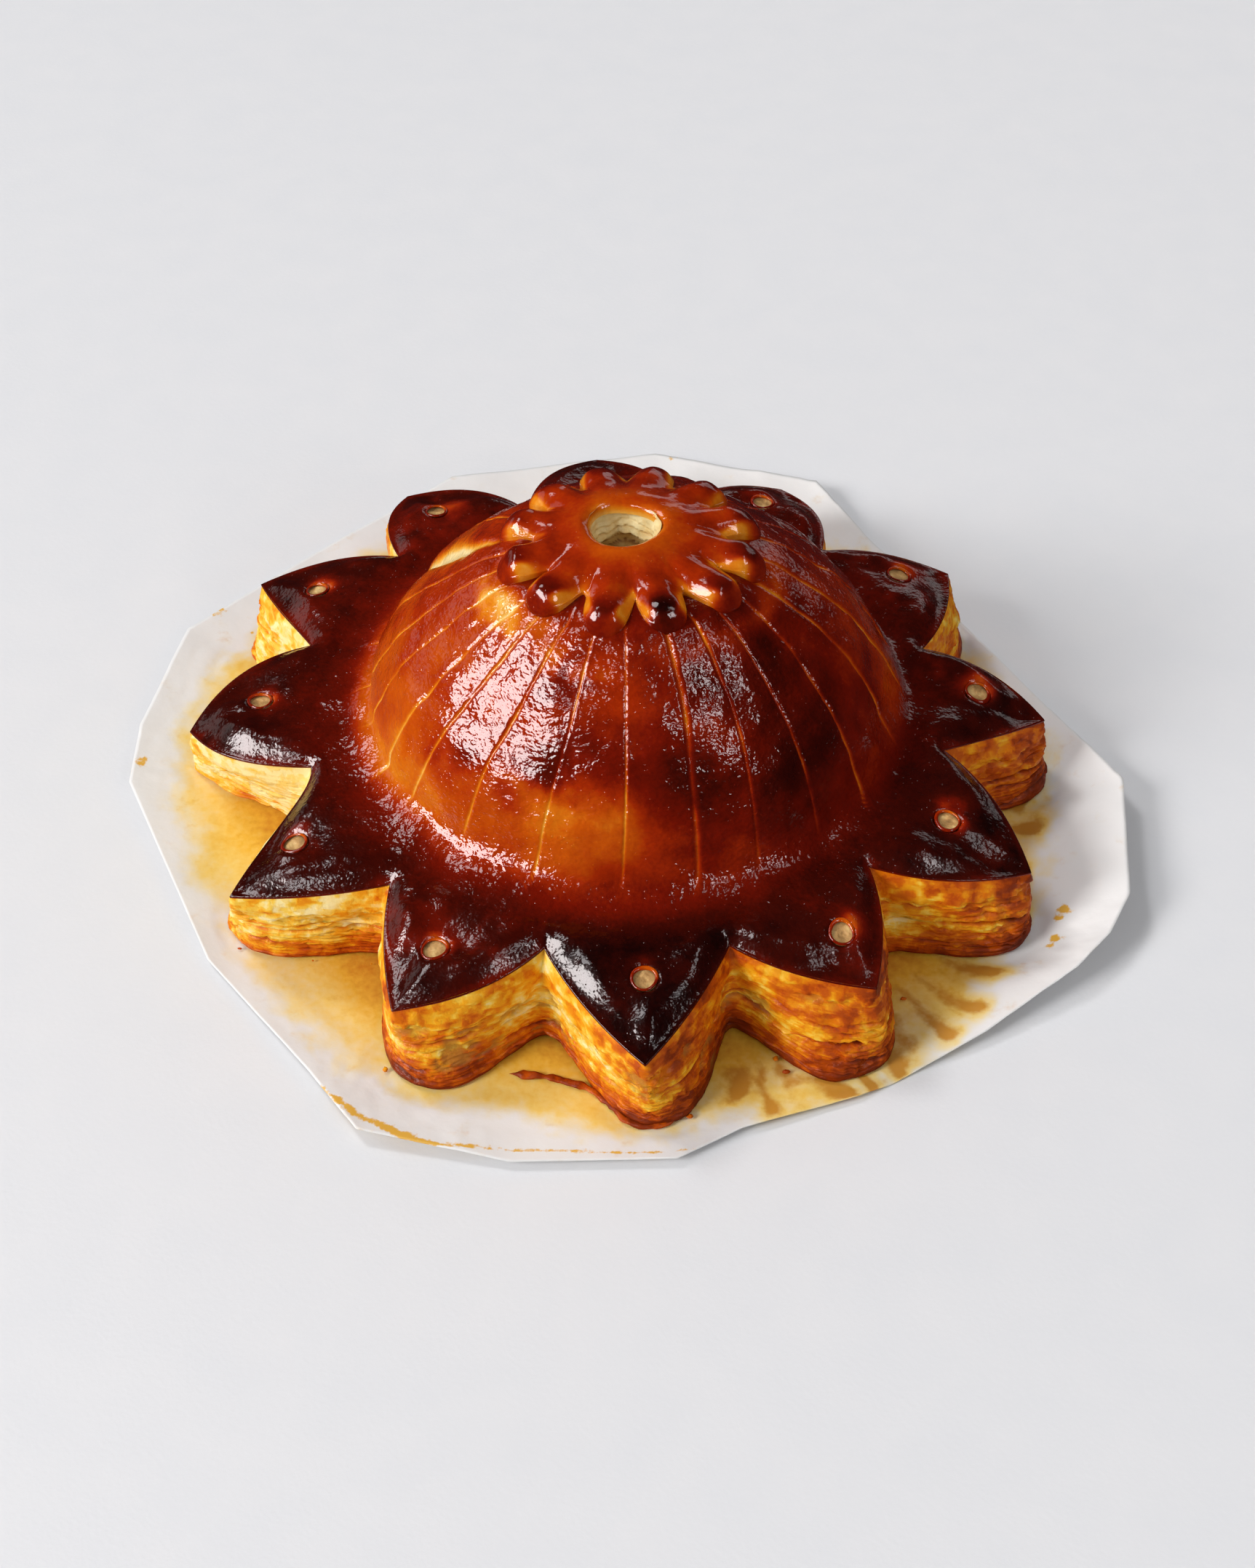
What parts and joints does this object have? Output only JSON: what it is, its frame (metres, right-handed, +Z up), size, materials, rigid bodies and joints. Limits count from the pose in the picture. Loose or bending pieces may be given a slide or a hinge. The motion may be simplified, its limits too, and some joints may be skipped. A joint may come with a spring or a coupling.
{
  "type": "pithivier",
  "caption": "Domed puff-pastry pie with a star-cut edge, pricked petals and a scored, glazed crust under a dough rosette with a steam vent, on its round of baking paper.",
  "frame": {"origin": "on the surface the paper lies on, under the middle of the whole part's box; the pie's own axis stands 8 mm in front of it", "axes": "+Z up through the pie, +Y away from the side that the front petal points to, +X to the right"},
  "size_m": [0.2715, 0.2707, 0.0894],
  "materials": {
    "glazed_crust": "gloss",
    "glazed_rosette": "gloss",
    "buttered_paper": "satin"
  },
  "bodies": {
    "root": {"pastry_pie": "glazed_crust", "dough_rosette": "glazed_rosette", "baking_paper": "buttered_paper"}
  },
  "joints": []
}
